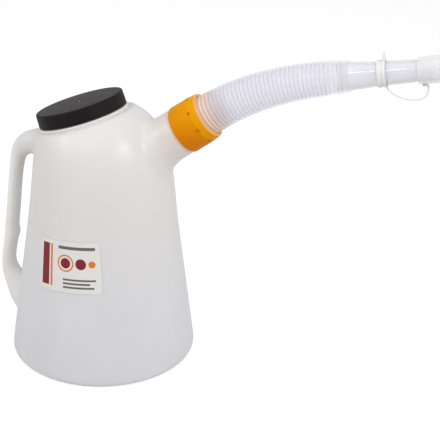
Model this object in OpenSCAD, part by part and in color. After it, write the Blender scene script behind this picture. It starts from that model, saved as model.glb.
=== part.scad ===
// Five litre oil jug: a blow-moulded body with a hollow handle, a large screw lid on a
// filler that leans back to the handle, and a corrugated spout held by a union nut.
// Origin at the centre of the base, +Z up, +X towards the spout, mirror plane at Y = 0.

/* [Jug body] */
// Largest radius of the body, just above the base
base_r = 99.6; // [80:0.1:120]
// Slope of the body's wall from upright, in degrees
taper = 8.2; // [5:0.1:11]
// Thickness of the blow-moulded wall
wall = 1.8; // [1.4:0.1:2.6]
// Radius of the rounding between base and wall
foot_r = 4.5; // [4:0.5:12]
// Width of the flat ring that the jug stands on
foot_w = 9; // [6:0.5:14]
// How far the middle of the base is pushed up
push_up = 3; // [1:0.5:6]
// Height at which the cone turns into the shoulder
shoulder_z = 140; // [120:1:160]

/* [Filler and lid] */
// Slope of the filler's face, down towards the handle, in degrees
tilt = 18.5; // [10:0.5:24]
// How far the filler's centre lies behind the jug's axis
filler_back = 21.4; // [15:0.1:28]
// Height of the lid's lower edge at the filler's centre
filler_z = 259.9; // [250:0.1:275]
// Radius of the flat land around the filler neck
land_r = 53; // [50:0.5:58]
// Distance from the land up to the lid's lower edge
land_drop = 4; // [3:0.1:6]
// Outer radius of the lid at its lower edge
lid_r = 46.1; // [44:0.1:49]
// Height of the lid
lid_h = 14.2; // [12:0.1:18]
// Draft of the lid's side, in degrees
lid_draft = 2; // [0:0.5:4]
// Wall of the lid
lid_wall = 2.2; // [1.6:0.1:2.8]
// Thickness of the lid's sealing disc
liner_h = 1.2; // [0.8:0.1:2]

/* [Spout neck and union nut] */
// How far the centre of the nut's back face lies inside the base's radius
spout_in = 14.1; // [8:0.1:20]
// Height of the centre of the nut's back face
spout_z = 257.2; // [250:0.1:265]
// Rise of the spout neck's axis above level, in degrees
spout_rise = 36.8; // [30:0.1:45]
// Outer radius of the spout neck behind the nut
neck_r = 24.4; // [23:0.1:27]
// Radius of the hollow curve where the neck grows out of the body
neck_flare = 45; // [30:1:60]
// Outer radius of the union nut at its back face
nut_r = 25; // [24.6:0.1:28]
// Outer radius of the union nut at its mouth
nut_mouth_r = 23.7; // [23.4:0.1:27]
// Length of the union nut
nut_h = 31.4; // [28:0.1:36]
// Thickness of the nut's wall around the thread
nut_wall = 2.6; // [2.2:0.1:2.8]
// Thickness of the nut's lip
lip_h = 3.2; // [2:0.1:5]
// Thickness of the flat seal on the neck's rim
seal_h = 1.5; // [1:0.1:2.5]

/* [Corrugated hose] */
// Radius over the corrugations where the hose leaves the nut
hose_r = 20.6; // [19:0.1:20.7]
// Radius over the corrugations at the nozzle end
hose_end_r = 15.6; // [15:0.1:17]
// Depth of a corrugation
ring_depth = 1.1; // [0.6:0.1:1.5]
// Distance from one corrugation to the next
ring_pitch = 4; // [3.4:0.1:6]
// Thickness of the hose's wall under the corrugations
hose_wall = 0.9; // [0.7:0.1:1.2]
// Thickness of the hose's clamped flange
flange_h = 2.4; // [1.6:0.1:3]
// How far the hose reaches out from the nut's back face
hose_out = 160.1; // [150:0.1:170]
// How far the hose climbs from the nut's back face
hose_up = 73.1; // [65:0.1:79]
// Stretch over which the hose keeps the direction of the spout neck
hose_lead = 57; // [45:1:65]
// Stretch over which the hose takes up the direction of the nozzle
hose_trail = 46; // [35:1:55]
// Length of the plain cuff at the hose's end
cuff_l = 6; // [4:0.5:9]

/* [Nozzle, cap and strap] */
// Rise of the nozzle's axis above level, in degrees
nozzle_rise = 11.3; // [5:0.1:20]
// Length of the nozzle beyond the hose's end
nozzle_l = 74.5; // [66:0.5:84]
// Depth of the nozzle's tail inside the hose
tail_l = 14; // [10:0.5:18]
// Radius of the nozzle at the hose's end
nozzle_r = 13.2; // [12.6:0.1:13.4]
// Radius of the nozzle where the strap's ring sits
nozzle_mid_r = 11.7; // [11.3:0.1:12]
// Radius of the nozzle at its tip
nozzle_tip_r = 9.7; // [9:0.1:10]
// Thickness of the nozzle's wall
nozzle_wall = 1.2; // [0.9:0.1:1.6]
// Length of the nozzle that the cap covers
cap_grip = 12; // [9:0.5:14]
// Outer length of the cap
cap_l = 23; // [20:0.5:28]
// Largest outer radius of the cap
cap_r = 12.7; // [12.4:0.1:14]
// Distance from the hose's end to the strap's ring
ring_at = 26; // [23:0.5:30]
// Width of the strap's ring
strap_ring_w = 7.6; // [5:0.2:9]
// Thickness of the strap's ring
strap_ring_t = 0.9; // [0.7:0.1:1.4]
// Radius of the strap's cord
strap_r = 0.8; // [0.6:0.1:1.2]
// Height of the thumb tab above the strap's ring
tab_h = 7.6; // [4:0.2:10]
// Width of the thumb tab
tab_w = 6; // [4:0.5:9]

/* [Handle] */
// Half the depth of the handle's grip, seen from the side
grip_half = 7; // [6:0.1:8]
// Half the width of the handle's grip, across the jug
grip_side = 10.5; // [9:0.1:13]
// How far the grip's upper end lies inside the base's radius
grip_in = 2.2; // [-4:0.1:6]
// Height of the grip's upper end
grip_z = 199; // [190:0.5:204]
// How far the grip's lower end stands out past the base's radius
grip_low_out = 13.2; // [8:0.1:20]
// Height of the grip's lower end
grip_low_z = 79; // [70:0.5:90]
// Height of the finger stop, a small swelling on the grip's inner side
stop_z = 116; // [100:1:150]
// How far the finger stop stands out
stop_out = 2.4; // [0:0.2:4]

/* [Label] */
// Height of the label's centre
label_z = 127; // [100:1:150]
// Direction of the label's centre around the jug, in degrees
label_side = 266; // [240:1:290]
// Width of the label
label_w = 69; // [50:1:90]
// Height of the label
label_h = 53.5; // [40:0.5:70]
// How far the label is stuck on askew, in degrees
label_skew = 3.8; // [0:0.1:8]
// Thickness of the label
label_t = 0.2; // [0.1:0.05:0.4]

/* [Hidden] */
$fn = 96;

// Clearance between seated pieces, and between a screw thread and its mate
seat = 0.3;
thread_gap = 0.5;
// Points around a skinned ring of the body, the handle, the hose and the strap
round_body = 48;
round_grip = 20;
round_hose = 28;
round_cord = 10;
// Length by which a part sinks into its neighbour in one moulding, or a cut runs past a face
root = 6;
past = 12;

filler_x = -filler_back;
filler_r = lid_r - lid_wall - thread_gap;
filler_top = lid_h - lid_wall - liner_h - 2*seat;
filler_bore = filler_r - wall;
land_edge = 3;
// The collar under the lid: how far it stands out past the lid, and the gap under the lid
collar_out = 1;
collar_gap = 0.8;

spout_x = base_r - spout_in;
nut_bore = nut_r - nut_wall;
spigot_r = nut_bore - thread_gap;
spigot_l = nut_h - lip_h - flange_h - seal_h - 2*seat;
flange_r = nut_bore - seat;
lip_bore = hose_r + seat + 0.1;
spout_bore = spigot_r - wall;

// Basic geometry

function wall_r(z) = base_r - (z - foot_r)*tan(taper);
function bezier(p, t) =
    p[0]*pow(1 - t, 3) + 3*p[1]*t*pow(1 - t, 2) + 3*p[2]*t*t*(1 - t) + p[3]*pow(t, 3);
function bezier_dir(p, t) =
    let (d = (p[1] - p[0])*pow(1 - t, 2) + 2*(p[2] - p[1])*t*(1 - t) + (p[3] - p[2])*t*t)
    d/norm(d);
function arc(cx, cy, r, from, to, steps = 8) =
    [for (i = [0 : steps]) let (a = from + (to - from)*i/steps) [cx + r*cos(a), cy + r*sin(a)]];

// A ring of points around a place on the mirror plane: x and z of its centre, its heading
// in degrees above level, its half depth in the plane and its half width across it
function ring_at_heading(x, z, heading, half, side, n) =
    [for (i = [0 : n - 1]) let (a = 360*i/n)
        [x - half*cos(a)*sin(heading), -side*sin(a), z + half*cos(a)*cos(heading)]];

function side_faces(a, b, n) =
    [for (i = [0 : n - 1]) let (k = (i + 1) % n) each
        [[a + i, b + i, b + k], [a + i, b + k, a + k]]];

// A solid skinned over a list of rings with flat ends
module skin(rings) {
    n = len(rings[0]);
    m = len(rings);
    polyhedron(
        points = [for (r = rings) each r],
        faces = concat(
            [[for (i = [0 : n - 1]) i]],
            [for (j = [0 : m - 2]) each side_faces(j*n, (j + 1)*n, n)],
            [[for (i = [n - 1 : -1 : 0]) (m - 1)*n + i]]));
}

// A tube skinned over rings that run along its outside and back along its bore
module skin_tube(rings) {
    n = len(rings[0]);
    m = len(rings);
    polyhedron(
        points = [for (r = rings) each r],
        faces = [for (j = [0 : m - 1]) each side_faces(j*n, ((j + 1) % m)*n, n)]);
}

module at_filler() {
    translate([filler_x, 0, filler_z])
        rotate([0, -tilt, 0])
            children();
}

module at_spout() {
    translate([spout_x, 0, spout_z])
        rotate([0, 90 - spout_rise, 0])
            children();
}

// The nozzle's own axis, from the hose's end outwards
module at_nozzle() {
    translate(hose_to)
        rotate([0, 90 - nozzle_rise, 0])
            children();
}

// Jug body

// The conical lower body, or with inset = wall its cavity
module cone_body(inset) {
    floor_z = inset > 0 ? push_up + inset : push_up;
    low_z = inset > 0 ? inset : 0;
    r = foot_r;
    ring_in = base_r - r - foot_w;
    rotate_extrude()
        polygon(concat(
            [[0, floor_z], [ring_in - 2*push_up - inset, floor_z], [ring_in - inset, low_z]],
            arc(base_r - r, r, r - inset, -90, 0, 4),
            [[wall_r(shoulder_z) - inset, shoulder_z], [0, shoulder_z]]));
}

function filler_pt(rho, th, up) =
    [filler_x + rho*cos(th)*cos(tilt) - up*sin(tilt),
     rho*sin(th),
     filler_z + rho*cos(th)*sin(tilt) + up*cos(tilt)];
function filler_dir(out, th, up) = filler_pt(out, th, up) - filler_pt(0, th, 0);

// The shoulder's skin: each point leaves the cone along its wall and comes in to the edge
// of the filler's land, steeply on the handle's side and on a slope on the spout's side
function shoulder_pt(th, t, inset) =
    let (r = wall_r(shoulder_z) - inset,
         a = [r*cos(th), r*sin(th), shoulder_z],
         up = [-sin(taper)*cos(th), -sin(taper)*sin(th), cos(taper)],
         k = filler_pt(land_r - inset, th, -land_drop - land_edge - inset),
         lean = 54 - 12*cos(th),
         down = filler_dir(cos(lean), th, -sin(lean)),
         reach = norm(k - a))
    bezier([a, a + up*reach*0.42, k + down*reach*(0.3 + 0.03*cos(th)), k], t);

module shoulder(inset) {
    n = round_body;
    steps = 6;
    edge = land_edge;
    skin(concat(
        [[for (i = [0 : n - 1]) let (th = 360*i/n, r = wall_r(shoulder_z - 2) - inset - 0.4)
            [r*cos(th), r*sin(th), shoulder_z - 2]]],
        [for (j = [0 : steps]) [for (i = [0 : n - 1])
            shoulder_pt(360*i/n, j == 0 ? 0.01 : j/steps, inset)]],
        [for (a = [30, 60, 90]) [for (i = [0 : n - 1])
            filler_pt(land_r - inset - edge*(1 - cos(a)), 360*i/n,
                -land_drop - inset - edge*(1 - sin(a)))]]));
}

// Where along the spout's axis the neck's hollow curve starts, so that below the neck it
// runs out into the body's wall, crossing it at a slight angle
flare_sink = 0.8;
wall_out = [cos(taper), sin(taper)];
neck_out = [cos(spout_rise), sin(spout_rise)];
neck_down = [sin(spout_rise), -cos(spout_rise)];
flare_from = (base_r*cos(taper) + foot_r*sin(taper) + neck_flare - flare_sink
    - wall_out*[spout_x, spout_z] - (neck_r + neck_flare)*(wall_out*neck_down))
    /(wall_out*neck_out);
flare_turn = 90 - spout_rise + taper;

// The spout neck grows out of the body in a hollow curve
module neck_root(inset) {
    r = neck_r - inset;
    f = neck_flare + inset;
    end = inset > 0 ? -wall : 0;
    low = flare_from - f*sin(flare_turn);
    steps = 6;
    at_spout()
        rotate_extrude()
            polygon(concat(
                [[0, low]],
                [for (i = [steps : -1 : 0]) let (a = flare_turn*i/steps)
                    [r + f*(1 - cos(a)), flare_from - f*sin(a)]],
                [[r, end], [0, end]]));
}

// Stations of the handle from its upper root to its lower root: x and z on the jug's back,
// heading above level, half depth and half width
grip_lean = atan2(grip_low_out + grip_in, grip_z - grip_low_z);
function grip(z, out = 0) =
    [grip_in - base_r - (grip_z - z)*tan(grip_lean) + out/2, z, 270 - grip_lean,
     grip_half + out/2, grip_side];
function grip_root(in, z, heading, half, side) = [in - base_r, z, heading, half, side];
handle_stations = [
    grip_root(53.6, 226, 180, 15, 16),
    grip_root(29.6, 226, 186, 13, 14),
    grip_root(11.6, 218, 222, 11.5, 12),
    grip(grip_z, 0.4),
    grip(stop_z + 24),
    grip(stop_z + 9, 0.2),
    grip(stop_z, stop_out),
    grip(stop_z - 12, 0.2),
    grip_root(-grip_low_out, grip_low_z, 270 - grip_lean/2, grip_half + 0.6, grip_side),
    grip_root(-7.2, 60, 306, 12.5, 11.5),
    grip_root(2.1, 41, 306, 15.5, 13),
    grip_root(17.6, 18, 296, 15, 14)];

// A smooth curve through stations a and b, with their neighbours before and after
function through(before, a, b, after, t) =
    0.5*(2*a + (b - before)*t + (2*before - 5*a + 4*b - after)*t*t
        + (3*a - before - 3*b + after)*t*t*t);
function station(list, i) = list[max(0, min(len(list) - 1, i))];

module handle(inset) {
    s = handle_stations;
    last = len(s) - 1;
    steps = [for (i = [0 : last - 1]) norm([s[i + 1][0] - s[i][0], s[i + 1][1] - s[i][1]]) > 20
        ? 3 : 2];
    skin([for (i = [0 : last]) for (j = [0 : (i == last ? 0 : steps[i] - 1)])
        let (p = through(station(s, i - 1), s[i], station(s, i + 1), station(s, i + 2),
            i == last ? 0 : j/steps[i]))
        ring_at_heading(p[0], p[1], p[2], p[3] - inset, p[4] - inset, round_grip)]);
}

module jug_body() {
    color([0.9, 0.9, 0.92])
    difference() {
        union() {
            cone_body(0);
            shoulder(0);
            neck_root(0);
            handle(0);
            at_filler() {
                translate([0, 0, -land_drop - root])
                    cylinder(r = filler_r, h = filler_top + land_drop + root);
                translate([0, 0, -land_drop - root])
                    cylinder(r = lid_r + collar_out, h = root + land_drop - collar_gap);
            }
            at_spout()
                translate([0, 0, -root])
                    cylinder(r = spigot_r, h = spigot_l + root);
        }
        cone_body(wall);
        shoulder(wall);
        neck_root(wall);
        handle(wall);
        at_filler()
            translate([0, 0, -land_drop - past])
                cylinder(r = filler_bore, h = filler_top + land_drop + 2*past);
        at_spout()
            translate([0, 0, -past])
                cylinder(r = spout_bore, h = spigot_l + 2*past);
    }
}

// Lid

module filler_lid() {
    top_r = lid_r - lid_h*tan(lid_draft);
    soft = 1.6;
    bore = lid_r - lid_wall;
    inner_h = lid_h - lid_wall;
    color([0.16, 0.15, 0.16])
    at_filler()
        rotate_extrude()
            polygon(concat(
                [[bore, 0], [lid_r, 0]],
                arc(top_r - soft, lid_h - soft, soft, 0, 90, 5),
                [[0, lid_h], [0, inner_h], [bore, inner_h]]));
}

module lid_liner() {
    color([0.85, 0.85, 0.82])
    at_filler()
        translate([0, 0, filler_top + seat])
            cylinder(r = filler_r, h = liner_h);
}

// Union nut and seal

module union_nut() {
    soft = 1;
    color([0.94, 0.6, 0.03])
    at_spout()
        rotate_extrude()
            polygon(concat(
                [[nut_bore, seat]],
                arc(nut_r - soft, seat + soft, soft, -90, 0, 4),
                arc(nut_mouth_r - soft, nut_h + seat - soft, soft, 0, 90, 4),
                [[lip_bore, nut_h + seat], [lip_bore, nut_h + seat - lip_h],
                 [nut_bore, nut_h + seat - lip_h]]));
}

module spout_seal() {
    color([0.2, 0.2, 0.2])
    at_spout()
        translate([0, 0, spigot_l + seat])
            difference() {
                cylinder(r = spigot_r, h = seal_h);
                translate([0, 0, -1])
                    cylinder(r = spout_bore, h = seal_h + 2);
            }
}

// Corrugated hose

flange_z = spigot_l + seal_h + 2*seat;
spout_dir = [cos(spout_rise), 0, sin(spout_rise)];
nozzle_dir = [cos(nozzle_rise), 0, sin(nozzle_rise)];
hose_from = [spout_x, 0, spout_z] + (nut_h + seat)*spout_dir;
hose_to = [spout_x + hose_out, 0, spout_z + hose_up];
hose_curve = [hose_from, hose_from + hose_lead*spout_dir, hose_to - hose_trail*nozzle_dir,
    hose_to];
hose_l = norm(hose_to - hose_from)*1.03;
hose_rings = floor((hose_l - cuff_l)/ring_pitch);
cuff_t = 1 - cuff_l/hose_l;

function hose_ring(t, r) =
    let (p = bezier(hose_curve, t), d = bezier_dir(hose_curve, t))
    ring_at_heading(p[0], p[2], atan2(d[2], d[0]), r, r, round_hose);
function spout_ring(z, r) =
    let (p = [spout_x, 0, spout_z] + z*spout_dir)
    ring_at_heading(p[0], p[2], spout_rise, r, r, round_hose);
function hose_radius(t) = hose_r + (hose_end_r - hose_r)*t;
function hose_bore(t) = hose_radius(t) - ring_depth - hose_wall;

module flexible_hose() {
    color([0.88, 0.87, 0.93, 0.6])
    skin_tube(concat(
        [spout_ring(flange_z, flange_r), spout_ring(flange_z + flange_h, flange_r),
         spout_ring(flange_z + flange_h, hose_r - ring_depth)],
        [for (j = [0 : hose_rings - 1]) each
            [hose_ring(cuff_t*(j + 0.1)/hose_rings, hose_radius(j/hose_rings) - ring_depth),
             hose_ring(cuff_t*(j + 0.6)/hose_rings, hose_radius(j/hose_rings))]],
        [hose_ring(cuff_t, hose_end_r - ring_depth), hose_ring(cuff_t + 0.005, hose_end_r),
         hose_ring(1, hose_end_r)],
        [for (t = [1 : -0.1 : 0]) hose_ring(t, hose_bore(t))],
        [spout_ring(flange_z, hose_bore(0))]));
}

// Nozzle

// Outer radius of the nozzle at a distance u from the hose's end: straight inside the
// hose, a quick taper to the waist, then a slow one to the tip
waist_u = 22;
function nozzle_out(u) = u < waist_u
    ? nozzle_r + (nozzle_mid_r - nozzle_r)*max(0, u)/waist_u
    : nozzle_mid_r + (nozzle_tip_r - nozzle_mid_r)*(u - waist_u)/(nozzle_l - waist_u);

cap_from = nozzle_l - cap_grip;

module pouring_nozzle() {
    stops = [-tail_l, 0, waist_u, nozzle_l];
    color([0.92, 0.92, 0.94, 0.6])
    at_nozzle()
        rotate_extrude()
            polygon(concat(
                [for (u = stops) [nozzle_out(u), u]],
                [for (i = [3 : -1 : 0]) [nozzle_out(stops[i]) - nozzle_wall, stops[i]]]));
}

// Cap and strap

cap_floor = 2;
peg_u = 5;
peg_r = 1.1;
peg_l = 2.6;

module nozzle_cap() {
    soft = 2.4;
    mouth_r = cap_r - 0.5;
    color([0.95, 0.95, 0.96])
    at_nozzle()
        translate([0, 0, cap_from]) {
            rotate_extrude()
                polygon(concat(
                    [[nozzle_out(cap_from) + seat, 0], [mouth_r, 0]],
                    arc(cap_r - soft, cap_l - soft, soft, 0, 90, 5),
                    [[0, cap_l], [0, cap_l - cap_floor],
                     [nozzle_out(nozzle_l) + seat, cap_l - cap_floor],
                     [nozzle_out(nozzle_l) + seat, cap_grip]]));
            translate([mouth_r - 0.5, 0, peg_u])
                rotate([0, 90, 0])
                    cylinder(r = peg_r, h = peg_l + 0.5);
        }
}

function nozzle_pt(u, up) =
    hose_to + u*nozzle_dir
        + up*[-sin(nozzle_rise), 0, cos(nozzle_rise)];

strap_bore = nozzle_out(ring_at) + seat;
eye_r = peg_r + seat + strap_r*1.6;
eye_t = 1.6;
cord_end_r = strap_r*1.4;

// The loop of cord: how far it swings out, and how far it hangs at its start and its end
loop_out = 7;
loop_start = 13;
loop_end = 21;

// The ring on the nozzle with its thumb tab, the loop of cord and the eye on the cap's peg
module cap_strap() {
    eye_up = -(cap_r + seat + eye_t/2);
    start = nozzle_pt(ring_at + strap_ring_w - 1, -strap_bore - strap_ring_t/2);
    end = nozzle_pt(cap_from + peg_u, eye_up) + [peg_r + 1.5*seat + cord_end_r, 0, 0];
    curve = [start, start + [loop_out, 0, -loop_start], end + [loop_out, 0, -loop_end], end];
    color([0.8, 0.8, 0.82]) {
        at_nozzle()
            translate([0, 0, ring_at])
                difference() {
                    union() {
                        cylinder(r = strap_bore + strap_ring_t, h = strap_ring_w);
                        translate([0, tab_w/2, 0])
                            rotate([90, 0, 0])
                                linear_extrude(height = tab_w)
                                    polygon([[-strap_bore, strap_ring_w - 4],
                                        [-strap_bore - tab_h*0.3, strap_ring_w - 2],
                                        [-strap_bore - tab_h, strap_ring_w - 1.4],
                                        [-strap_bore - tab_h, strap_ring_w],
                                        [-strap_bore, strap_ring_w]]);
                    }
                    translate([0, 0, -1])
                        cylinder(r = strap_bore, h = strap_ring_w + 2);
                }
        at_nozzle()
            translate([-eye_up - eye_t/2, 0, cap_from + peg_u])
                rotate([0, 90, 0])
                    difference() {
                        cylinder(r = eye_r, h = eye_t);
                        translate([0, 0, -1])
                            cylinder(r = peg_r + seat, h = eye_t + 2);
                    }
        skin([for (i = [0 : 12]) let (t = i/12, p = bezier(curve, t), d = bezier_dir(curve, t),
                r = strap_r + (cord_end_r - strap_r)*pow(abs(2*t - 1), 6))
            ring_at_heading(p[0], p[2], atan2(d[2], d[0]), r, r, round_cord)]);
    }
}

// Label

// The shoulder swells slightly past the cone where the label's upper edge lies on it
label_top = label_z + label_h/2 + label_w*sin(label_skew)/2;
label_half = asin(label_w/2/wall_r(label_top));
swell = max([for (side = [-1, 0, 1]) for (t = [0 : 0.01 : 0.6])
    let (p = shoulder_pt(label_side + side*label_half, t, 0))
    p[2] > label_top ? 0 : norm([p[0], p[1]]) - wall_r(p[2])]);
label_gap = swell + seat/3;

// A paper-thin patch of the cone, trimmed to a rectangle that lies slightly askew
module label() {
    low = label_z - label_h;
    top = label_z + label_h;
    color([0.93, 0.92, 0.9])
    intersection() {
        rotate_extrude()
            polygon([for (p = [[label_gap, low], [label_gap + label_t, low],
                    [label_gap + label_t, top], [label_gap, top]])
                [wall_r(p[1]) + p[0], p[1]]]);
        rotate([0, 0, label_side])
            translate([wall_r(label_z), 0, label_z])
                rotate([0, -taper, 0])
                    rotate([label_skew, 0, 0])
                        cube([base_r/2, label_w, label_h], center = true);
    }
}

jug_body();
filler_lid();
lid_liner();
union_nut();
spout_seal();
flexible_hose();
pouring_nozzle();
cap_strap();
nozzle_cap();
label();
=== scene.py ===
from math import atan2, ceil, cos, degrees, pi, radians, sin, tan

import bmesh
import bpy
from mathutils import Matrix, Vector


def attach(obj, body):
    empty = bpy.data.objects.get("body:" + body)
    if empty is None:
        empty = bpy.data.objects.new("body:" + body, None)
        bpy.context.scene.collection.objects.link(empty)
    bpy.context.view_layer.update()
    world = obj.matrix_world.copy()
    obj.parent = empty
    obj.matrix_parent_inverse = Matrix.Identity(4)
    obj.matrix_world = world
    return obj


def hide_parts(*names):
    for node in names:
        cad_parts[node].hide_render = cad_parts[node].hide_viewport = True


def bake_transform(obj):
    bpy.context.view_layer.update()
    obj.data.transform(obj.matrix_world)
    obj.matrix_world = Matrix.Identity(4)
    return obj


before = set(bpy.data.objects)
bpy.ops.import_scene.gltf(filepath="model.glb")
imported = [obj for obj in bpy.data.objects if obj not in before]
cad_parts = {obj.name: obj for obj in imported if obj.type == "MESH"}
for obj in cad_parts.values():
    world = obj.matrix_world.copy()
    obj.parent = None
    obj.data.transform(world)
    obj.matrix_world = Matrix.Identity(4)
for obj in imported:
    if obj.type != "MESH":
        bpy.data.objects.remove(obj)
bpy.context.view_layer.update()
scene = bpy.context.scene

# Camera
# At the photograph's viewing angle: in front of the jug, a little round to the spout's
# side and above it. The focal length is in pixels of a picture 440 wide.
eye_round, eye_distance, eye_height = radians(22), 0.95197, 0.5694
eye_yaw, eye_pitch, eye_roll = radians(-7.44), radians(23.87), radians(2.54)
picture_width, focal_pixels, sensor = 440, 975.44, 36
heading = eye_round + eye_yaw
ahead = Vector((-sin(heading) * cos(eye_pitch), cos(heading) * cos(eye_pitch), -sin(eye_pitch)))
level = Vector((cos(heading), sin(heading), 0))
above = level.cross(ahead)
right = level * cos(eye_roll) + above * sin(eye_roll)
upward = above * cos(eye_roll) - level * sin(eye_roll)
camera = bpy.data.objects.new("camera", bpy.data.cameras.new("camera"))
scene.collection.objects.link(camera)
camera.data.sensor_width = sensor
camera.data.lens = focal_pixels / picture_width * sensor
camera.matrix_world = Matrix.Translation(
    (eye_distance * sin(eye_round), -eye_distance * cos(eye_round), eye_height)
) @ Matrix((right, upward, -ahead)).transposed().to_4x4()
scene.camera = camera
scene.view_settings.view_transform = "Standard"


# Studio
# A white floor and a white surround, with soft boxes overhead, in front and to both sides.
class Channel:
    """One output in a material's nodes. Arithmetic on it adds Math nodes."""

    def __init__(self, finish, socket):
        self.finish, self.socket = finish, socket

    def math(self, operation, *values):
        return self.finish.node("Math", {"operation": operation}, dict(enumerate((self, *values))))

    def out(self, name):
        """Another output of the same node."""
        return Channel(self.finish, self.socket.node.outputs[name])

    def clamped(self, low, high):
        """0 at low, 1 at high and straight between."""
        values = {"Value": self, "From Min": low, "From Max": high}
        return self.finish.node("MapRange", {"clamp": True}, values)

    def __add__(self, other):
        return self.math("ADD", other)

    def __sub__(self, other):
        return self.math("SUBTRACT", other)

    def __rsub__(self, other):
        return self * -1 + other

    def __mul__(self, other):
        return self.math("MULTIPLY", other)

    def __pow__(self, other):
        return self.math("POWER", other)

    def __abs__(self):
        return self.math("ABSOLUTE")

    def __lt__(self, other):
        return self.math("LESS_THAN", other)

    def __gt__(self, other):
        return self.math("GREATER_THAN", other)

    __radd__, __rmul__ = __add__, __mul__


class Finish:
    """A finish in nodes, for a material or for the world."""

    def __init__(self, owner):
        self.owner = owner
        owner.use_nodes = True
        self.tree = owner.node_tree
        self.shader = self.tree.nodes.get("Principled BSDF") or self.tree.nodes["Background"]

    def node(self, kind, settings=None, values=None, out=0):
        made = self.tree.nodes.new("ShaderNode" + kind)
        for key, value in (settings or {}).items():
            setattr(made, key, value)
        for key, value in (values or {}).items():
            self.feed(made.inputs[key], value)
        return Channel(self, made.outputs[out])

    def feed(self, socket, value):
        if isinstance(value, Channel):
            self.tree.links.new(value.socket, socket)
        else:
            socket.default_value = value

    def set(self, **values):
        for key, value in values.items():
            self.feed(self.shader.inputs[key.replace("_", " ")], value)
        return self

    def mix(self, share, a, b):
        return self.node("Mix", {"data_type": "RGBA"}, {0: share, 6: a, 7: b}, 2)

    def place(self):
        return self.node("TexCoord", out="Object")

    def noise(self, scale, detail=2):
        return self.node("TexNoise", None, {"Vector": self.place(), "Scale": scale, "Detail": detail})

    def along(self, axis, start=(0, 0, 0)):
        """Distance along a direction, in metres."""
        way = self.node("VectorMath", {"operation": "SUBTRACT"}, {0: self.place(), 1: start})
        return self.node("VectorMath", {"operation": "DOT_PRODUCT"}, {0: way, 1: axis}, "Value")

    def away(self, centre):
        """Distance from a point, in metres."""
        return self.node("VectorMath", {"operation": "DISTANCE"}, {0: self.place(), 1: centre}, "Value")

    def relief(self, height):
        """Height in millimetres, as a bump."""
        return self.set(Normal=self.node("Bump", None, {"Height": height, "Distance": 0.001}))


def shade(red, green, blue):
    """A colour given as it looks on screen, 0 to 255."""
    return (*[(c / 255) ** 2.2 for c in (red, green, blue)], 1)


def plastic(name, color, roughness, **values):
    finish = Finish(bpy.data.materials.new(name))
    return finish.set(Base_Color=color, Roughness=roughness, **values)


white, black = (1, 1, 1, 1), (0, 0, 0, 1)
surround = Finish(bpy.data.worlds.new("surround"))
scene.world = surround.owner
ray = surround.node("LightPath", out="Is Camera Ray")
seen = ray.math("MAXIMUM", ray.out("Is Transmission Ray"))
fill_light = 0.61
surround.set(Color=white, Strength=(1 - fill_light) * seen + fill_light)


def soft_box(name, spot, target, size, power):
    lamp = bpy.data.lights.new(name, "AREA")
    lamp.shape, lamp.size, lamp.size_y, lamp.energy = "RECTANGLE", *size, power
    holder = bpy.data.objects.new(name, lamp)
    scene.collection.objects.link(holder)
    aim = (Vector(target) - Vector(spot)).to_track_quat("-Z", "Y")
    holder.matrix_world = Matrix.Translation(spot) @ aim.to_matrix().to_4x4()


soft_box("overhead", (0.1, -0.2, 1.6), (0.05, 0, 0.2), (1.2, 1.2), 3)
soft_box("front", (-0.2, -1.0, 1.24), (0.05, 0, 0.25), (0.9, 0.15), 3)
soft_box("spout_side", (1.1, -0.55, 1.05), (0.05, 0, 0.2), (0.3, 0.3), 6)
soft_box("spout_edge", (1.3, 0.45, 0.6), (0, 0, 0.15), (0.5, 0.5), 1.6)
soft_box("handle_side", (-1.02, -0.78, 0.95), (0.05, 0, 0.2), (0.25, 0.25), 3.5)

floor_size = 3
bm = bmesh.new()
bmesh.ops.create_grid(bm, x_segments=1, y_segments=1, size=floor_size)
floor_mesh = bpy.data.meshes.new("floor")
bm.to_mesh(floor_mesh)
bm.free()
floor = bpy.data.objects.new("floor", floor_mesh)
scene.collection.objects.link(floor)
floor_paint = plastic("floor_paint", white, 0.9, Emission_Strength=0.68)
floor_seen = floor_paint.node("LightPath", out="Is Camera Ray")
floor_paint.set(Base_Color=floor_paint.mix(floor_seen, (0.75, 0.75, 0.75, 1), (0.42, 0.42, 0.42, 1)))
floor_paint.set(Emission_Color=floor_paint.mix(floor_seen, black, white))
floor_mesh.materials.append(floor_paint.owner)

# Jug shell
# One blow-moulded shell of natural plastic: a tapering round body, a domed shoulder, the
# filler neck leaning back, the spout neck and the hollow handle, all one wall thick.
mm = 0.001
wall = 1.8
base_r, taper, foot_r, foot_w, push_up = 99.6, radians(8.2), 4.5, 9, 3
shoulder_z = 140
tilt, filler_x, filler_z = radians(18.5), -21.4, 259.9
land_r, land_more, land_drop, land_edge = 53, 2.5, 4, 3
shoulder_lean, shoulder_swing = 54, 12
wall_pull, land_pull, pull_swing = 0.42, 0.3, 0.03
lid_r, lid_h, lid_wall = 46.1, 14.2, 2.2
neck_thread = 0.9
filler_r = 43.4 - neck_thread
filler_top = 10.2
spout_x, spout_z, spout_rise = 85.5, 257.2, radians(36.8)
neck_r, neck_flare, flare_from, flare_turn = 24.4, 45, -13.9, radians(61.4)
spigot_l, spigot_r = 23.7, 21.9 - neck_thread
thread_lead = 4


def tilted(x, z, angle):
    """A place on the mirror plane, its own Z turned by an angle about Y."""
    return Matrix.Translation((x, 0, z)) @ Matrix.Rotation(angle, 4, "Y")


at_filler = tilted(filler_x, filler_z, -tilt)
at_spout = tilted(spout_x, spout_z, pi / 2 - spout_rise)


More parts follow.
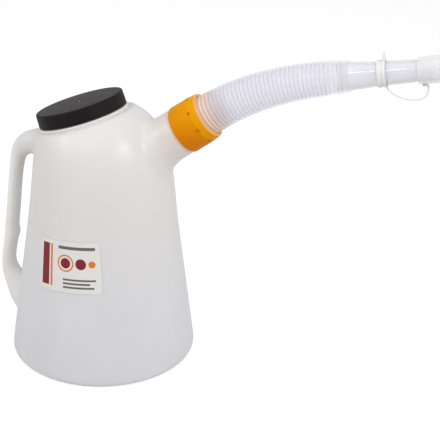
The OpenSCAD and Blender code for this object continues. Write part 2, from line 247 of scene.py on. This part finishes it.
def finished(bm, place=Matrix(), clean=True):
    """A mesh in metres, in its place, closed and facing outwards."""
    if clean:
        bmesh.ops.remove_doubles(bm, verts=bm.verts, dist=1e-4)
        bmesh.ops.recalc_face_normals(bm, faces=bm.faces)
    bmesh.ops.transform(bm, matrix=Matrix.Scale(mm, 4) @ place, verts=bm.verts)
    mesh = bpy.data.meshes.new("part")
    bm.to_mesh(mesh)
    bm.free()
    return mesh


def outline(bm, points, closed=True):
    dots = [bm.verts.new(p) for p in points]
    pairs = zip(dots, dots[1:] + dots[:1] * closed)
    return dots, [bm.edges.new(pair) for pair in pairs]


def turned(profile, place=Matrix(), steps=144):
    """A closed outline of (radius, height), spun round its own axis."""
    bm = bmesh.new()
    dots, edges = outline(bm, [(r, 0, z) for r, z in profile])
    bmesh.ops.spin(bm, geom=dots + edges, cent=(0, 0, 0), axis=(0, 0, 1), dvec=(0, 0, 0),
                   angle=2 * pi, steps=steps, use_merge=True)
    bmesh.ops.dissolve_degenerate(bm, dist=1e-4, edges=bm.edges)
    return finished(bm, place)


def arc(x, y, r, start, end, steps=6):
    """Points of a rounding, in degrees."""
    angles = [radians(start + (end - start) * i / steps) for i in range(steps + 1)]
    return [(x + r * cos(a), y + r * sin(a)) for a in angles]


def lofted(rings, place=Matrix(), ends=True, marks=None):
    """A skin bridged from ring to ring, with flat ends. Marks are values for the finish."""
    bm = bmesh.new()
    loops = []
    layer = bm.verts.layers.float.new("mark") if marks else None
    for i, ring in enumerate(rings):
        dots, edges = outline(bm, ring)
        loops.append(edges)
        if marks:
            for dot in dots:
                dot[layer] = marks[i]
    for near, far in zip(loops, loops[1:]):
        bmesh.ops.bridge_loops(bm, edges=near + far)
    if ends:
        for loop in (loops[0], loops[-1]):
            bmesh.ops.contextual_create(bm, geom=loop)
    return finished(bm, place)


def tube_ring(x, z, heading, half, side, count):
    """A ring round a point of the mirror plane; heading is its axis above level."""
    angles = [2 * pi * i / count for i in range(count)]
    return [(x - half * cos(a) * sin(heading), -side * sin(a), z + half * cos(a) * cos(heading))
            for a in angles]


def bezier(p, t):
    weights = ((1 - t) ** 3, 3 * t * (1 - t) ** 2, 3 * t * t * (1 - t), t ** 3)
    return sum((w * Vector(q) for w, q in zip(weights, p)), Vector((0, 0, 0)))


def joined(meshes):
    bm = bmesh.new()
    for mesh in meshes:
        bm.from_mesh(mesh)
        bpy.data.meshes.remove(mesh)
    return bm


def piece(name, meshes, finish, body, stands_for=(), sharp=35):
    """A named object of one or more meshes, shaded smooth up to an angle."""
    mesh = bpy.data.meshes.new(name)
    bm = joined(meshes)
    bm.to_mesh(mesh)
    bm.free()
    mesh.shade_smooth()
    mesh.set_sharp_from_angle(angle=radians(sharp))
    mesh.materials.append(finish.owner)
    thing = bpy.data.objects.new(name, mesh)
    scene.collection.objects.link(thing)
    if body:
        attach(thing, body)
    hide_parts(*stands_for)
    return thing


def thread(radius, height, start, turns, place, inwards=False, steps=72):
    """A screw thread: a blunt ridge wound round a neck, or inside a cap."""
    out = -height if inwards else height
    bm = bmesh.new()
    foot, crest, half_foot, half_crest = radius - out * 0.3, radius + out, 1.1, 0.35
    ridge = [(foot, -half_foot), (crest, -half_crest), (crest, half_crest), (foot, half_foot)]
    dots, edges = outline(bm, [(r, 0, start + z) for r, z in ridge])
    count = ceil(steps * turns)
    first = bmesh.ops.contextual_create(bm, geom=edges)["faces"]
    bmesh.ops.spin(bm, geom=first, cent=(0, 0, 0), axis=(0, 0, 1), angle=2 * pi * turns,
                   dvec=(0, 0, thread_lead * turns / count), steps=count)
    return finished(bm, place)


def wall_at(z):
    return base_r - (z - foot_r) * tan(taper)


foot_in = base_r - foot_r - foot_w
cone_side = [(0, push_up), (foot_in - 2 * push_up, push_up), (foot_in, 0)]
cone_side += arc(base_r - foot_r, foot_r, foot_r, -90, 0, 8)
cone_side += [(wall_at(shoulder_z + 1), shoulder_z + 1), (0, shoulder_z + 1)]


def land_radius(a):
    """The land is broader towards the spout."""
    return land_r + land_more * max(0, cos(a)) ** 2


def filler_point(r, a, up):
    return at_filler @ Vector((r * cos(a), r * sin(a), up))


def shoulder_point(a, t):
    """Up from the cone along its wall, and in to the edge of the filler's land."""
    low = Vector((wall_at(shoulder_z) * cos(a), wall_at(shoulder_z) * sin(a), shoulder_z))
    rise = Vector((-sin(taper) * cos(a), -sin(taper) * sin(a), cos(taper)))
    edge = filler_point(land_radius(a), a, -land_drop - land_edge)
    lean = radians(shoulder_lean - shoulder_swing * cos(a))
    out = filler_point(cos(lean), a, -sin(lean)) - filler_point(0, a, 0)
    reach = (edge - low).length
    from_wall = low + rise * reach * wall_pull
    to_land = edge + out * reach * (land_pull + pull_swing * cos(a))
    return bezier((low, from_wall, to_land, edge), t)


around_steps, shoulder_steps, sunk = 144, 24, 2
around = [2 * pi * i / around_steps for i in range(around_steps)]
sunk_r, sunk_z = wall_at(shoulder_z - sunk) - 0.4, shoulder_z - sunk
shoulder_rings = [[(sunk_r * cos(a), sunk_r * sin(a), sunk_z) for a in around]]
for i in range(shoulder_steps + 1):
    shoulder_rings.append([shoulder_point(a, i / shoulder_steps) for a in around])
for b in (pi / 8, pi / 4, 3 * pi / 8, pi / 2):
    edge_in, edge_down = land_edge * (1 - cos(b)), land_drop + land_edge * (1 - sin(b))
    shoulder_rings.append([filler_point(land_radius(a) - edge_in, a, -edge_down) for a in around])
trumpet_low = flare_from - neck_flare * sin(flare_turn)
trumpet = [(0, trumpet_low)]
flare_angles = [flare_turn * i / 16 for i in range(16, -1, -1)]
trumpet += [(neck_r + neck_flare * (1 - cos(b)), flare_from - neck_flare * sin(b)) for b in flare_angles]
trumpet += [(neck_r, 0), (0, 0)]

grip_half, grip_side = 7, 10.5
grip_top, grip_low = (-97.4, 199), (-112.8, 79)
grip_lean = atan2(grip_top[0] - grip_low[0], grip_top[1] - grip_low[1])
stop_z, stop_out = 116, 2.4


def grip(z, out=0):
    x = grip_top[0] - (grip_top[1] - z) * tan(grip_lean)
    return x + out / 2, z, 270 - degrees(grip_lean), grip_half + out / 2, grip_side


handle_stations = [
    (-46, 226, 180, 15, 16), (-70, 226, 186, 13, 14), (-88, 218, 222, 11.5, 12), grip(grip_top[1], 0.4),
    grip(stop_z + 24), grip(stop_z + 9, 0.2), grip(stop_z, stop_out), grip(stop_z - 12, 0.2),
    (*grip_low, 270 - degrees(grip_lean) / 2, grip_half + 0.6, grip_side),
    (-106.8, 60, 306, 12.5, 11.5), (-97.5, 41, 306, 15.5, 13), (-82, 18, 296, 15, 14),
]


def through(a, b, c, d, t):
    """A smooth curve from b to c, with their neighbours a and d."""
    values = []
    for p, q, r, s in zip(a, b, c, d):
        square, cube = 2 * p - 5 * q + 4 * r - s, 3 * q - p - 3 * r + s
        values.append(0.5 * (2 * q + (r - p) * t + square * t * t + cube * t ** 3))
    return values


handle_rings, grip_steps = [], 6
for i, (here, following) in enumerate(zip(handle_stations, handle_stations[1:])):
    before = handle_stations[max(0, i - 1)]
    beyond = handle_stations[min(len(handle_stations) - 1, i + 2)]
    for j in range(grip_steps):
        x, z, turn, half, side = through(before, here, following, beyond, j / grip_steps)
        handle_rings.append(tube_ring(x, z, radians(turn), half, side, 48))

voxel = 2.5
body_parts = [
    turned(cone_side, steps=192),
    lofted(shoulder_rings),
    turned(trumpet, at_spout, 128),
    lofted(handle_rings),
    turned([(0, -10), (filler_r, -10), (filler_r, filler_top + 4), (0, filler_top + 4)], at_filler),
    turned([(0, -10), (spigot_r, -10), (spigot_r, spigot_l + 4), (0, spigot_l + 4)], at_spout),
]
draft = piece("draft", body_parts, plastic("draft", white, 0.5), None)
remesh = draft.modifiers.new("one skin", "REMESH")
remesh.mode, remesh.voxel_size = "VOXEL", voxel * mm
skin = bpy.data.meshes.new_from_object(draft.evaluated_get(bpy.context.evaluated_depsgraph_get()))
bpy.data.objects.remove(draft)
bm = bmesh.new()
bm.from_mesh(skin)
bpy.data.meshes.remove(skin)


def smooth(verts, times=1):
    for _ in range(times):
        bmesh.ops.smooth_vert(bm, verts=verts, factor=0.5, use_axis_x=True, use_axis_y=True,
                              use_axis_z=True)


smooth(bm.verts)
crease = -radians(7)
hollow = {v for e in bm.edges if e.calc_face_angle_signed(0) < crease for v in e.verts}
to_filler, foot_zone = at_filler.inverted() @ Matrix.Scale(1 / mm, 4), 10 * mm
land_low = -land_drop - land_edge
hollow = {v for v in hollow if v.co.z > foot_zone and (to_filler @ v.co).z < land_low}
for _ in range(3):
    hollow |= {e.other_vert(v) for v in hollow for e in v.link_edges}
handle_side = [v for v in hollow if v.co.x <= 0]
smooth(list(hollow), 4)
smooth(handle_side, 8)
smooth(bm.verts, 2)
for place, height in ((at_filler, filler_top), (at_spout, spigot_l)):
    rim = place @ Vector((0, 0, height)) * mm
    out = (place.to_3x3() @ Vector((0, 0, 1))).normalized()
    everything = bm.verts[:] + bm.edges[:] + bm.faces[:]
    bmesh.ops.bisect_plane(bm, geom=everything, plane_co=rim, plane_no=out, clear_outer=True)
bmesh.ops.recalc_face_normals(bm, faces=bm.faces)
bmesh.ops.solidify(bm, geom=bm.faces[:], thickness=wall * mm)
shell_mesh = bpy.data.meshes.new("shell")
bm.to_mesh(shell_mesh)
bm.free()

collar = [(filler_r - 1, -land_drop - 1), (lid_r + 1, -land_drop - 1)]
collar += arc(lid_r + 0.4, -1.4, 0.6, 0, 90, 4) + [(filler_r - 1, -0.8)]
jug_meshes = [
    shell_mesh,
    turned(collar, at_filler),
    thread(filler_r, neck_thread, 3.2, 1.4, at_filler),
    thread(spigot_r, neck_thread, 6, 3.2, at_spout),
]

natural = plastic("natural_plastic", white, 0.38, Subsurface_Weight=0.3, Subsurface_Scale=1.0,
                  Subsurface_Radius=(0.012, 0.011, 0.010))
# Darker and cooler towards the bottom: painted shade, the base colour standing in for less light low on
# the body.
up = natural.along((0, 0, 1)).clamped(0.02, 0.2)
cloud = natural.noise(22, 3).clamped(0.3, 0.7)
tone = natural.mix(up, shade(214, 213, 218), shade(226, 222, 219))
tone = natural.mix(cloud * 0.25, tone, shade(233, 231, 229))
spout_way = (cos(spout_rise), 0, sin(spout_rise))
# Peach tint on the spout neck next to the nut: painted orange light thrown from the amber nut.
painted_nut_glow = natural.along(spout_way, (spout_x * mm, 0, spout_z * mm)).clamped(-0.03, 0.002)
tone = natural.mix(painted_nut_glow * 0.7, tone, shade(220, 202, 184))
# Handle painted lighter: painted light, making up for the light the handle gets less of and the glow
# through its thin wall.
grip_painted_light = natural.along((-1, 0, 0)).clamped(0.09, 0.1)
natural.set(Base_Color=natural.mix(grip_painted_light * 0.75, tone, shade(250, 245, 238)))
natural.set(Roughness=natural.noise(70) * 0.12 + 0.32)
parting = ((abs(natural.along((0, 1, 0))) * 2500) ** 2 + 1) ** -1
natural.relief(natural.noise(35) * 0.3 + natural.noise(1400, 1) * 0.015 + parting * 0.12)
piece("jug_shell", jug_meshes, natural, "jug", ["jug_body"])

# Filler lid
# A big shallow screw lid, moulded in charcoal plastic with a satin skin. The gate of the
# mould leaves a small mark in the middle of its flat top.
lid_draft, lid_soft = radians(2), 1.8
lid_bore = lid_r - lid_wall
lid_top_r = lid_r - lid_h * tan(lid_draft)
lid_side = [(lid_bore, 0), (lid_r - 0.5, 0), (lid_r, 0.5)]
lid_side += arc(lid_top_r - lid_soft, lid_h - lid_soft, lid_soft, 0, 90, 8)
lid_side += [(3.2, lid_h), (2.8, lid_h - 0.4), (1.5, lid_h - 0.4), (1.1, lid_h + 0.1), (0, lid_h + 0.1)]
lid_side += [(0, lid_h - lid_wall), (lid_bore, lid_h - lid_wall)]
charcoal = plastic("charcoal_plastic", black, 0.5, Specular_IOR_Level=0.15)
lid_way = (-sin(tilt), 0, cos(tilt))
from_gate = charcoal.away(at_filler @ Vector((0, 0, lid_h)) * mm)
# Flat top paler than the sides: painted sheen from the overhead light; the rounded rim keeps the darker
# side colour.
on_top = charcoal.along(lid_way, (filler_x * mm, 0, filler_z * mm)) > (lid_h - 0.25) * mm
on_top = on_top * (from_gate < (lid_top_r - 2.6) * mm)
worn = charcoal.noise(60, 4)
side_tone = charcoal.mix(worn, shade(24, 17, 19), shade(34, 28, 29))
top_with_painted_sheen = charcoal.mix(worn, shade(48, 41, 46), shade(58, 53, 57))
top_with_painted_sheen = charcoal.mix(from_gate < 1.3 * mm, top_with_painted_sheen, shade(128, 124, 128))
charcoal.set(Base_Color=charcoal.mix(on_top, side_tone, top_with_painted_sheen))
charcoal.set(Roughness=charcoal.noise(130, 3) * 0.2 + 0.4)
charcoal.relief(charcoal.noise(1100, 2) * 0.03 + charcoal.noise(90) * 0.08)
lid_meshes = [turned(lid_side, at_filler, 192), thread(lid_bore, neck_thread, 2.6, 1.6, at_filler, True)]
piece("filler_lid_moulding", lid_meshes, charcoal, "lid", ["filler_lid"])

# Lid liner
# A disc of white foam that lies in the lid and seals on the neck's rim.
foam = plastic("foam", white, 0.9)
foam.set(Base_Color=foam.mix(foam.noise(300, 3), shade(216, 215, 208), shade(232, 231, 226)))
foam.relief(foam.noise(1500, 2) * 0.12)
liner_h, seat = 1.2, 0.3
liner_low, liner_r = filler_top + seat, 43.4
liner_side = [(0, liner_low), (liner_r - 0.3, liner_low), (liner_r, liner_low + 0.3),
              (liner_r, liner_low + liner_h), (0, liner_low + liner_h)]
piece("foam_liner", [turned(liner_side, at_filler)], foam, "liner", ["lid_liner"])

# Union nut
# An amber ring nut that clamps the hose's flange to the spout neck.
nut_r, nut_mouth_r, nut_h, nut_bore, lip_h, lip_bore = 25, 23.7, 31.4, 22.4, 3.2, 21
nut_soft = 1.4
nut_step = 24
nut_side = [(nut_bore, seat)] + arc(nut_r - nut_soft, seat + nut_soft, nut_soft, -90, 0, 6)
nut_side += [(24.6, nut_step - 0.6), (24.35, nut_step)]
nut_side += arc(nut_mouth_r - nut_soft, nut_h + seat - nut_soft, nut_soft, 0, 90, 6)
nut_side += [(lip_bore, nut_h + seat), (lip_bore, nut_h + seat - lip_h), (nut_bore, nut_h + seat - lip_h)]
pip_side = [(0, 0), (1.6, 0), (1.6, 0.9), (1.2, 1.2), (0, 1.2)]
pips, pip_spots, pip_count, pip_turn, pip_up = [], [], 8, radians(12.6), nut_step - 0.4
for i in range(pip_count):
    around_nut = Matrix.Rotation(2 * pi * i / pip_count + pip_turn, 4, "Z")
    out_of_nut = Matrix.Translation((nut_r - 1, 0, pip_up)) @ Matrix.Rotation(pi / 2, 4, "Y")
    pips.append(turned(pip_side, at_spout @ around_nut @ out_of_nut, 16))
    pip_spots.append(at_spout @ around_nut @ Vector((nut_r, 0, pip_up)) * mm)
amber = plastic("amber_plastic", white, 0.4, Specular_IOR_Level=0.05, Subsurface_Weight=0.15,
                Subsurface_Radius=(0.004, 0.002, 0.0005), Subsurface_Scale=1.0)
# Darker, redder low on the nut and lighter higher up: painted shade below and painted light above.
painted_light_above = amber.along((0, 0, 1)).clamped(0.25, 0.295)
amber_tone = amber.mix(painted_light_above, (0.63, 0.18, 0, 1), (0.77, 0.33, 0, 1))
amber_cloud = amber.noise(50, 3).clamped(0.3, 0.7)
amber_tone = amber.mix(amber_cloud * 0.3, amber_tone, (0.66, 0.25, 0, 1))
up_nut = amber.along(spout_way, (spout_x * mm, 0, spout_z * mm))
# Lighter, yellower front step and mouth rim: painted light on the nut's lit front edges.
amber_tone = amber.mix((up_nut > nut_step * mm) * 0.5, amber_tone, (0.8, 0.36, 0, 1))
amber_tone = amber.mix(up_nut > (nut_h + seat - 0.5) * mm, amber_tone, (0.8, 0.42, 0.12, 1))
# Darker spots round the pips: painted shade beside the small raised pips.
for pip_spot in pip_spots:
    amber_tone = amber.mix((amber.away(pip_spot) < 1.7 * mm) * 0.6, amber_tone, (0.4, 0.08, 0, 1))
amber.set(Base_Color=amber_tone)
amber.set(Roughness=amber.noise(160) * 0.15 + 0.32)
amber.relief(amber.noise(900, 2) * 0.02 + amber.noise(80) * 0.12)
nut_meshes = [turned(nut_side, at_spout), thread(nut_bore, neck_thread, 4, 3.4, at_spout, True)] + pips
piece("amber_union_nut", nut_meshes, amber, "nut", ["union_nut"])

# Spout seal
# A flat black rubber ring between the neck's rim and the hose's flange.
rubber = plastic("black_rubber", black, 0.75)
rubber.set(Base_Color=rubber.mix(rubber.noise(400, 3), shade(30, 30, 30), shade(46, 45, 44)))
rubber.relief(rubber.noise(1200, 2) * 0.05)
spout_bore, seal_r, seal_low, seal_high = 20.1, 21.9, spigot_l + seat, spigot_l + 1.8
seal_side = [(spout_bore, seal_low), (seal_r, seal_low), (seal_r, seal_high), (spout_bore, seal_high)]
piece("rubber_seal", [turned(seal_side, at_spout)], rubber, "spout", ["spout_seal"])

# Flexible hose
# A clear, soft, corrugated hose that tapers towards the nozzle. Its flange is clamped
# inside the nut and a plain cuff grips the nozzle's tail.
hose_r, hose_end_r, ring_depth, ring_pitch, hose_wall = 20.6, 15.6, 1.1, 4, 0.9
nozzle_rise = radians(11.3)
hose_end = Vector((245.6, 0, 330.3))
spout_out = Vector((cos(spout_rise), 0, sin(spout_rise)))
nozzle_out = Vector((cos(nozzle_rise), 0, sin(nozzle_rise)))
hose_from = Vector((spout_x, 0, spout_z)) + (nut_h + seat) * spout_out
hose_curve = (hose_from, hose_from + 57 * spout_out, hose_end - 46 * nozzle_out, hose_end)
line = [bezier(hose_curve, i / 400) for i in range(401)]
reach = [0]
for a, b in zip(line, line[1:]):
    reach.append(reach[-1] + (b - a).length)
hose_l = reach[-1]


def hose_at(s):
    """Place and heading at a distance along the hose; before 0 it runs straight into the nut."""
    if s <= 0:
        return hose_from + s * spout_out, spout_rise
    t = next((i for i, r in enumerate(reach) if r >= s), len(reach) - 1)
    t = max(1, t)
    share = min(1, (s - reach[t - 1]) / (reach[t] - reach[t - 1]))
    step = line[t] - line[t - 1]
    before = line[t - 1] - line[max(0, t - 2)] if t > 1 else spout_out
    way = (before.normalized() * (1 - share) + step.normalized() * share) if t > 1 else step
    return line[t - 1] + step * share, atan2(way.z, way.x)


def hose_radius(s):
    return hose_r + (hose_end_r - hose_r) * min(1, max(0, s) / hose_l)


def hose_ring(s, r, count=80):
    spot, heading = hose_at(s)
    return tube_ring(spot.x, spot.z, heading, r, r, count)


cuff_l, flange_h, flange_r = 6, 2.4, 22.1
flange_at = spigot_l + 1.5 + 2 * seat - nut_h - seat
ring_from = -2.8
ring_count = round((hose_l - cuff_l - ring_from) / ring_pitch)
pitch = (hose_l - cuff_l - ring_from) / ring_count
ring_form = ((0.06, 0), (0.2, 0.5), (0.36, 0.95), (0.5, 1), (0.64, 0.95), (0.8, 0.5), (0.94, 0))
hose_rings = [hose_ring(flange_at, flange_r), hose_ring(flange_at + flange_h, flange_r),
              hose_ring(flange_at + flange_h + 0.05, hose_r - ring_depth)]
hose_marks = [0.5, 0.5, 0.5]
for i in range(ring_count):
    for share, height in ring_form:
        s = ring_from + (i + share) * pitch
        hose_rings.append(hose_ring(s, hose_radius(s) - ring_depth * (1 - height)))
        hose_marks.append(height)
cuff_from = hose_l - cuff_l
hose_rings += [hose_ring(cuff_from, hose_end_r - ring_depth), hose_ring(cuff_from + 0.5, hose_end_r - 0.1),
               hose_ring(hose_l - 0.3, hose_end_r), hose_ring(hose_l, hose_end_r - 0.3)]
bore_steps = [hose_l - (hose_l - flange_at) * i / 60 for i in range(61)]
hose_rings += [hose_ring(s, hose_radius(s) - ring_depth - hose_wall) for s in bore_steps]
hose_rings.append(hose_rings[0])
hose_marks += [0.8] * (len(hose_rings) - len(hose_marks))
clear = plastic("clear_soft_plastic", white, 0.2)
crest = clear.node("Attribute", {"attribute_name": "mark"}, None, "Fac")
near = clear.along(spout_out, hose_from * mm)
# Peach near the nut, with more alpha there: painted orange light from the amber nut, which also covers the
# dark inside of the nut.
painted_nut_glow = near.clamped(0.02, 0.006)
streaks = clear.noise(25, 3) * 0.3
# Darker ring valleys and lighter crests, with more alpha in the valleys: painted shade and highlight
# standing in for the rings' refraction; the lavender is the hose's own tint.
lavender = clear.mix(crest, shade(200, 198, 218), shade(240, 239, 248))
lavender = clear.mix(streaks, lavender, shade(226, 224, 237))
painted_nut_light = clear.mix(crest, shade(244, 190, 158), shade(255, 240, 224))
clear.set(Base_Color=clear.mix(painted_nut_glow, lavender, painted_nut_light))
round_tail = clear.along(nozzle_out, hose_end * mm).clamped(-0.024, -0.016)
clear.set(Alpha=painted_nut_glow * 0.3 - crest * 0.12 - round_tail * 0.14 + 0.4)
clear.set(Roughness=clear.noise(200) * 0.1 + 0.15)
hose_skin = lofted(hose_rings, ends=False, marks=hose_marks)
hose = piece("corrugated_hose", [hose_skin], clear, None, ["flexible_hose"], 60)
hose_at(6)[0] * mm
hose_at(hose_l - 18)[0] * mm
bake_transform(hose)

# Pouring nozzle
# A clear tapering tube, stiffer than the hose, with its tail pushed into the hose's end.
at_nozzle = tilted(hose_end.x, hose_end.z, pi / 2 - nozzle_rise)
nozzle_l, tail_l, waist_u = 74.5, 14, 22
nozzle_r, nozzle_mid_r, nozzle_tip_r, nozzle_wall = 13.2, 11.7, 9.7, 1.2


def nozzle_radius(u):
    if u < waist_u:
        return nozzle_r + (nozzle_mid_r - nozzle_r) * max(0, u) / waist_u
    return nozzle_mid_r + (nozzle_tip_r - nozzle_mid_r) * (u - waist_u) / (nozzle_l - waist_u)


stops = (-tail_l, 0, waist_u, nozzle_l)
tip_soft = 0.5
nozzle_side = [(nozzle_radius(u), u) for u in stops[:-1]]
nozzle_side += arc(nozzle_tip_r - tip_soft, nozzle_l - tip_soft, tip_soft, 0, 90, 4)
nozzle_side += [(nozzle_radius(u) - nozzle_wall, u) for u in stops[::-1]]
hard_clear = plastic("clear_hard_plastic", white, 0.12, Specular_IOR_Level=0.9, Coat_Weight=0.6)
flow = hard_clear.noise(40, 3)
in_hose = hard_clear.along(nozzle_out, hose_end * mm).clamped(0.001, -0.001)
hard_clear.set(Base_Color=hard_clear.mix(flow, shade(228, 227, 236), shade(242, 241, 248)))
hard_clear.set(Alpha=flow * 0.1 + 0.4 - in_hose * 0.36, Roughness=hard_clear.noise(120) * 0.05 + 0.05)
nozzle_meshes = [turned(nozzle_side, at_nozzle, 96)]
piece("clear_nozzle", nozzle_meshes, hard_clear, "nozzle", ["pouring_nozzle"])

# Cap strap
# One soft moulding: a double ring on the nozzle with a thumb tab, a thin loop of cord and
# an eye that is buttoned over the cap's peg.
ring_at, strap_ring_w, strap_ring_t, strap_r, tab_h = 26, 7.6, 0.9, 0.8, 7.6
cap_grip, cap_l, cap_r, cap_floor = 12, 23, 12.7, 2
cap_from = nozzle_l - cap_grip
peg_u, peg_r, peg_l = 5, 1.1, 2.6
strap_bore = nozzle_radius(ring_at) + seat
ring_top = strap_bore + strap_ring_t
band_soft, groove_r = 0.3, strap_bore + 0.35
band = [(strap_bore, ring_at)] + arc(ring_top - band_soft, ring_at + band_soft, band_soft, -90, 0, 3)
band += [(ring_top, ring_at + 2.6), (groove_r, ring_at + 3)]
band += [(groove_r, ring_at + 4.6), (ring_top, ring_at + 5)]
band += arc(ring_top - band_soft, ring_at + strap_ring_w - band_soft, band_soft, 0, 90, 3)
band.append((strap_bore, ring_at + strap_ring_w))


def nozzle_point(u, up):
    return hose_end + u * nozzle_out + up * Vector((-sin(nozzle_rise), 0, cos(nozzle_rise)))


eye_t = 1.6
eye_r = peg_r + seat + strap_r * 1.6
eye_up = -(cap_r + seat + eye_t / 2)
loop_start = nozzle_point(ring_at + strap_ring_w - 1, -strap_bore - strap_ring_t / 2)
loop_end = nozzle_point(cap_from + peg_u, eye_up) + Vector((peg_r + 1.5 * seat + 1.4 * strap_r, 0, 0))
loop = (loop_start, loop_start + Vector((7, 0, -13)), loop_end + Vector((7, 0, -21)), loop_end)
cord_rings = []
for i in range(41):
    t = i / 40
    spot = bezier(loop, t)
    way = bezier(loop, min(1, t + 0.01)) - bezier(loop, max(0, t - 0.01))
    thick = strap_r * (1 + 0.4 * abs(2 * t - 1) ** 6)
    cord_rings.append(tube_ring(spot.x, spot.z, atan2(way.z, way.x), thick, thick, 16))

bm = bmesh.new()
tab_w, tab_t, tab_foot, tab_top = 6, 1.4, 4, -strap_bore - tab_h
tab_outline = [(-strap_bore, strap_ring_w - tab_foot),
               (-strap_bore - tab_h * 0.3, strap_ring_w - tab_foot / 2),
               (tab_top, strap_ring_w - tab_t), (tab_top, strap_ring_w), (-strap_bore, strap_ring_w)]
dots, edges = outline(bm, [(x, -tab_w / 2, ring_at + z) for x, z in tab_outline])
side_face = bmesh.ops.contextual_create(bm, geom=edges)["faces"]
moved = bmesh.ops.extrude_face_region(bm, geom=side_face)["geom"]
far_side = [v for v in moved if isinstance(v, bmesh.types.BMVert)]
bmesh.ops.translate(bm, vec=(0, tab_w, 0), verts=far_side)
bmesh.ops.bevel(bm, geom=bm.edges[:], offset=0.35, segments=2, profile=0.5, affect="EDGES", material=-1)
tab = finished(bm, at_nozzle)
across_axis = Matrix.Rotation(pi / 2, 4, "Y")
at_eye = at_nozzle @ Matrix.Translation((-eye_up - eye_t / 2, 0, cap_from + peg_u)) @ across_axis
eye_hole, eye_soft = peg_r + seat, 0.4
eye_side = [(eye_hole, 0), (eye_r - eye_soft, 0), (eye_r, eye_soft), (eye_r, eye_t - eye_soft),
            (eye_r - eye_soft, eye_t), (eye_hole, eye_t)]
soft_clear = plastic("soft_clear_plastic", white, 0.25, Alpha=0.8)
strap_tone = soft_clear.mix(soft_clear.noise(150, 3), shade(232, 233, 234), shade(243, 244, 244))
soft_clear.set(Base_Color=strap_tone)
soft_clear.relief(soft_clear.noise(500, 2) * 0.04)
strap_meshes = [turned(band, at_nozzle, 96), tab, lofted(cord_rings), turned(eye_side, at_eye, 32)]
strap = piece("cap_strap_moulding", strap_meshes, soft_clear, None, ["cap_strap"], 50)
bend_from, bend_to = nozzle_point(ring_at + strap_ring_w + 2, 0), nozzle_point(cap_from, 0)
bend_from * mm
bend_to * mm
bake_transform(strap)

# Nozzle cap
# A milky push-on cap over the nozzle's tip, with a peg below for the strap's eye.
cap_soft = 2.4
cap_side = [(nozzle_radius(cap_from) + seat, 0), (cap_r - 0.8, 0), (cap_r - 0.5, 0.3)]
cap_side += [(cap_r - 0.15, 14.2), (cap_r - 0.45, 14.5), (cap_r - 0.45, 14.9), (cap_r - 0.1, 15.2)]
cap_side += arc(cap_r - cap_soft, cap_l - cap_soft, cap_soft, 0, 90, 8)
cap_bore = nozzle_tip_r + seat
cap_side += [(0, cap_l), (0, cap_l - cap_floor), (cap_bore, cap_l - cap_floor), (cap_bore, cap_grip)]
at_cap = at_nozzle @ Matrix.Translation((0, 0, cap_from))
at_peg = at_cap @ Matrix.Translation((cap_r - 1, 0, peg_u)) @ across_axis
peg_side = [(0, 0), (peg_r, 0), (peg_r, peg_l + 0.4), (peg_r * 0.7, peg_l + 0.8), (0, peg_l + 0.8)]
milky = plastic("milky_plastic", white, 0.35, Alpha=0.5, Subsurface_Weight=0.2, Subsurface_Scale=1.0,
                Subsurface_Radius=(0.006, 0.006, 0.006))
end_band = milky.along(nozzle_out, nozzle_point(cap_from, 0) * mm) > 0.0147
milky_tone = milky.mix(milky.noise(70, 3), shade(240, 239, 244), shade(250, 249, 253))
milky.set(Base_Color=milky.mix(end_band * 0.6, milky_tone, shade(236, 237, 234)))
milky.set(Roughness=milky.noise(200) * 0.15 + 0.28)
milky.relief(milky.noise(600, 2) * 0.02 + milky.noise(90) * 0.08)
cap_meshes = [turned(cap_side, at_cap, 96), turned(peg_side, at_peg, 24)]
piece("milky_cap", cap_meshes, milky, "cap", ["nozzle_cap"])

# Label
# A printed film stuck on the front of the jug, slightly askew.
label_z, label_side, label_w, label_h = 127, radians(266), 69, 53.5
label_skew, label_t = radians(3.8), 0.2
bm = bmesh.new()
uv = bm.loops.layers.uv.new("print")
bmesh.ops.create_grid(bm, x_segments=48, y_segments=32, size=0.5, calc_uvs=True)
bmesh.ops.scale(bm, vec=(label_w, label_h, 1), verts=bm.verts)
for face in bm.faces:
    for corner in face.loops:
        corner[uv].uv = corner.vert.co.x / label_w + 0.5, corner.vert.co.y / label_h + 0.5
for v in bm.verts:
    x = v.co.x * cos(label_skew) - v.co.y * sin(label_skew)
    y = v.co.y * cos(label_skew) + v.co.x * sin(label_skew)
    r = wall_at(label_z)
    a = label_side + x / r
    z = label_z + y * cos(taper)
    v.co = ((wall_at(z) + seat) * cos(a), (wall_at(z) + seat) * sin(a), z)
bmesh.ops.solidify(bm, geom=bm.faces[:], thickness=label_t)
film = plastic("label_film", white, 0.4, Specular_IOR_Level=0.2)
print_uv = film.node("UVMap", {"uv_map": "print"})
split = film.node("SeparateXYZ", None, {0: print_uv}, "X")
across, height = split * label_w, split.out("Y") * label_h


def bar(x, y, half_x, half_y):
    return (abs(across - x) < half_x) * (abs(height - y) < half_y)


def spot(x, y, r):
    a, b = across - x, height - y
    return (a * a + b * b) < r * r


paper = film.mix(film.noise(90, 3), shade(214, 212, 208), shade(224, 222, 218))
wine, honey, grey = shade(120, 0, 26), shade(214, 116, 16), shade(96, 92, 90)
rows = bar(46, 14, 17, 1) + bar(43, 10, 14, 1) + bar(45, 6, 16, 1)
inks = (
    (bar(8, 27, 4.5, 22), wine), (bar(15.5, 27, 1.2, 22), honey), (bar(44, 47, 20, 1.6), grey),
    (spot(32, 31, 9), honey), (spot(32, 31, 7.4), paper), (spot(32, 31, 5.4), wine),
    (spot(48.5, 31, 5.6), wine), (spot(60, 31, 3.6), honey), (rows, grey),
)
for shape, ink in inks:
    paper = film.mix(shape.math("MINIMUM", 1) * 0.97, paper, ink)
film.set(Base_Color=paper, Roughness=film.noise(150) * 0.15 + 0.33)
film.relief(film.noise(1200, 2) * 0.01 + film.noise(60) * 0.08)
piece("label_film", [finished(bm, clean=False)], film, "jug", ["label"])
